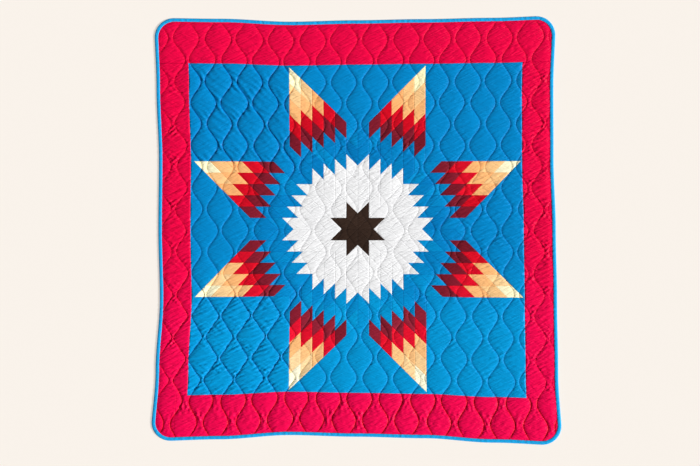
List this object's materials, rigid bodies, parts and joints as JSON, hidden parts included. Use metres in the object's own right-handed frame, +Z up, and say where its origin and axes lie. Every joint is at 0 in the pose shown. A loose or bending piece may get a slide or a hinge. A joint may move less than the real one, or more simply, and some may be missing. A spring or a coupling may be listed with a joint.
{
  "type": "star quilt blanket",
  "caption": "Large rectangular quilted blanket with an eight-pointed pieced star on a blue field, red border strips, rounded corners and a folded blue binding, lying flat.",
  "frame": {"origin": "middle of the quilt's bounding box, on the surface it lies on", "axes": "+Z up out of the patchwork face, +Y towards the top edge, +X to the right seen from above"},
  "size_m": [2.1996, 2.3006, 0.0131],
  "materials": {
    "star_cloth": "soft satin sheen, pieced and quilted",
    "border_cloth": "soft satin sheen, quilted",
    "binding_cloth": "soft satin sheen, folded strip"
  },
  "bodies": {
    "root": {"centre_panel": "star_cloth", "border_top": "border_cloth", "border_bottom": "border_cloth", "border_left": "border_cloth", "border_right": "border_cloth", "binding": "binding_cloth"}
  },
  "joints": []
}
